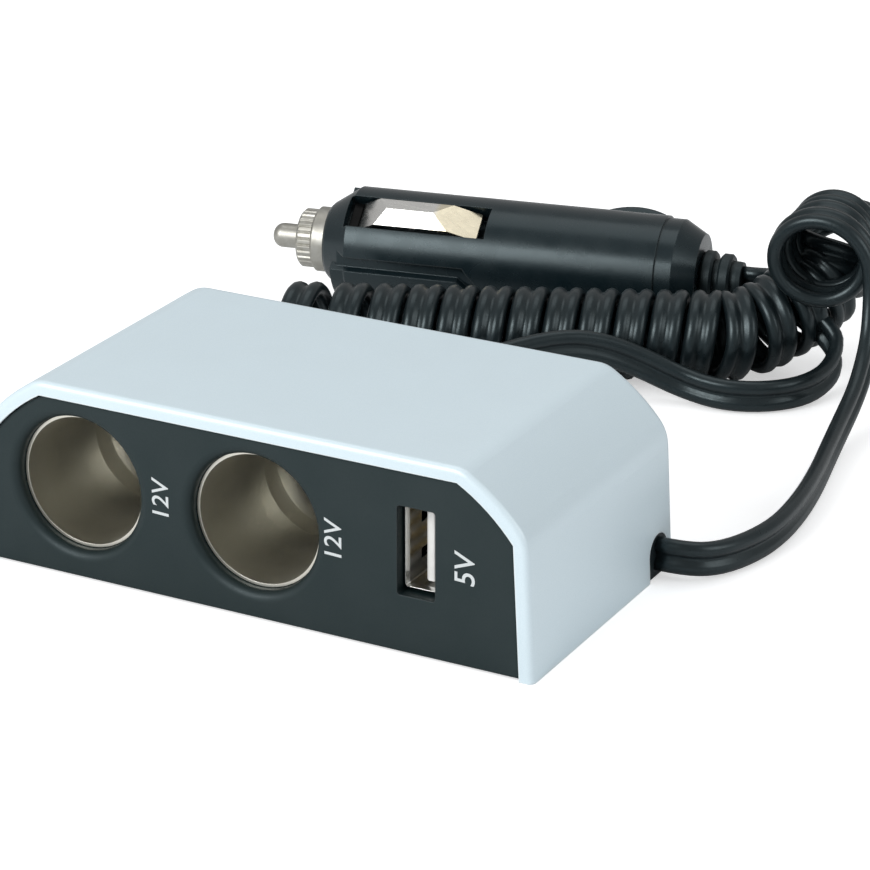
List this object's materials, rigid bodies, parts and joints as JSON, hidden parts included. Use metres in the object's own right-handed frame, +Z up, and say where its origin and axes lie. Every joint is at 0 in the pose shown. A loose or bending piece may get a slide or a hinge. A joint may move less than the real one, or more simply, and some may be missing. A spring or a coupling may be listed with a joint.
{
  "type": "cigarette lighter socket splitter",
  "caption": "Silver car power splitter box with round lighter sockets and a charging port, on a black curly twin lead with a fused plug.",
  "frame": {"origin": "bottom centre of the splitter box, without its lead and plug", "axes": "+X to the right along the box's width, -Y out of the front panel, +Z up"},
  "size_m": [0.133, 0.1529, 0.0341],
  "materials": {
    "silver_plastic": "satin metallic paint",
    "black_plastic": "fine grain",
    "black_gloss": "semi-gloss",
    "white_plastic": "moulded",
    "nickel": "bright nickel plate",
    "steel": "plated",
    "brass": "bare",
    "gold": "gold flash",
    "rubber": "matt",
    "lead": "semi-gloss",
    "board": "solder mask",
    "ferrite": "matt",
    "aluminium": "drawn can",
    "glass": "clear"
  },
  "bodies": {
    "splitter_box": {"housing_shell": "silver_plastic", "front_panel": "black_plastic", "base_cover": "black_plastic", "housing_screws": "steel", "cord_grommet": "rubber", "socket_sleeve_left": "nickel", "socket_cup_left": "black_plastic", "centre_contact_left": "brass", "socket_sleeve_right": "nickel", "socket_cup_right": "black_plastic", "centre_contact_right": "brass", "feed_strip": "brass", "ground_strip": "brass", "usb_shell": "steel", "usb_tongue": "white_plastic", "usb_contacts": "gold", "circuit_board": "board", "power_inductor": "ferrite", "filter_capacitors": "aluminium", "converter_chip": "black_plastic", "plug_barrel_upper": "black_gloss", "plug_barrel_lower": "black_gloss", "nose_cap": "nickel", "pin_spring": "steel", "spring_seat": "brass", "plug_strain_relief": "rubber", "body_lead": "lead", "curly_coil": "lead", "plug_lead": "lead"},
    "contact_pin": {"tip_pin": "nickel", "fuse_glass": "glass", "fuse_caps": "nickel"},
    "upper_side_contact": {"side_contact_upper": "nickel"},
    "lower_side_contact": {"side_contact_lower": "nickel"}
  },
  "joints": [
    {"name": "pin_press", "type": "slide", "parent": "splitter_box", "child": "contact_pin", "axis": [0.9803, 0.1977, 0], "range_m": [0, 0.003], "stiffness_N_per_m": 800, "springref_m": -0.004, "deforming": ["pin_spring"]},
    {"name": "upper_contact_press", "type": "hinge", "parent": "splitter_box", "child": "upper_side_contact", "pos_m": [-0.05115, 0.10152, 0.01805], "axis": [-0.1619, 0.803, 0.5736], "range_deg": [0, 4], "stiffness_Nm_per_rad": 0.5, "springref_deg": -2.86},
    {"name": "lower_contact_press", "type": "hinge", "parent": "splitter_box", "child": "lower_side_contact", "pos_m": [-0.05297, 0.11052, 0.00495], "axis": [0.1619, -0.803, -0.5736], "range_deg": [0, 4], "stiffness_Nm_per_rad": 0.5, "springref_deg": -2.86}
  ]
}
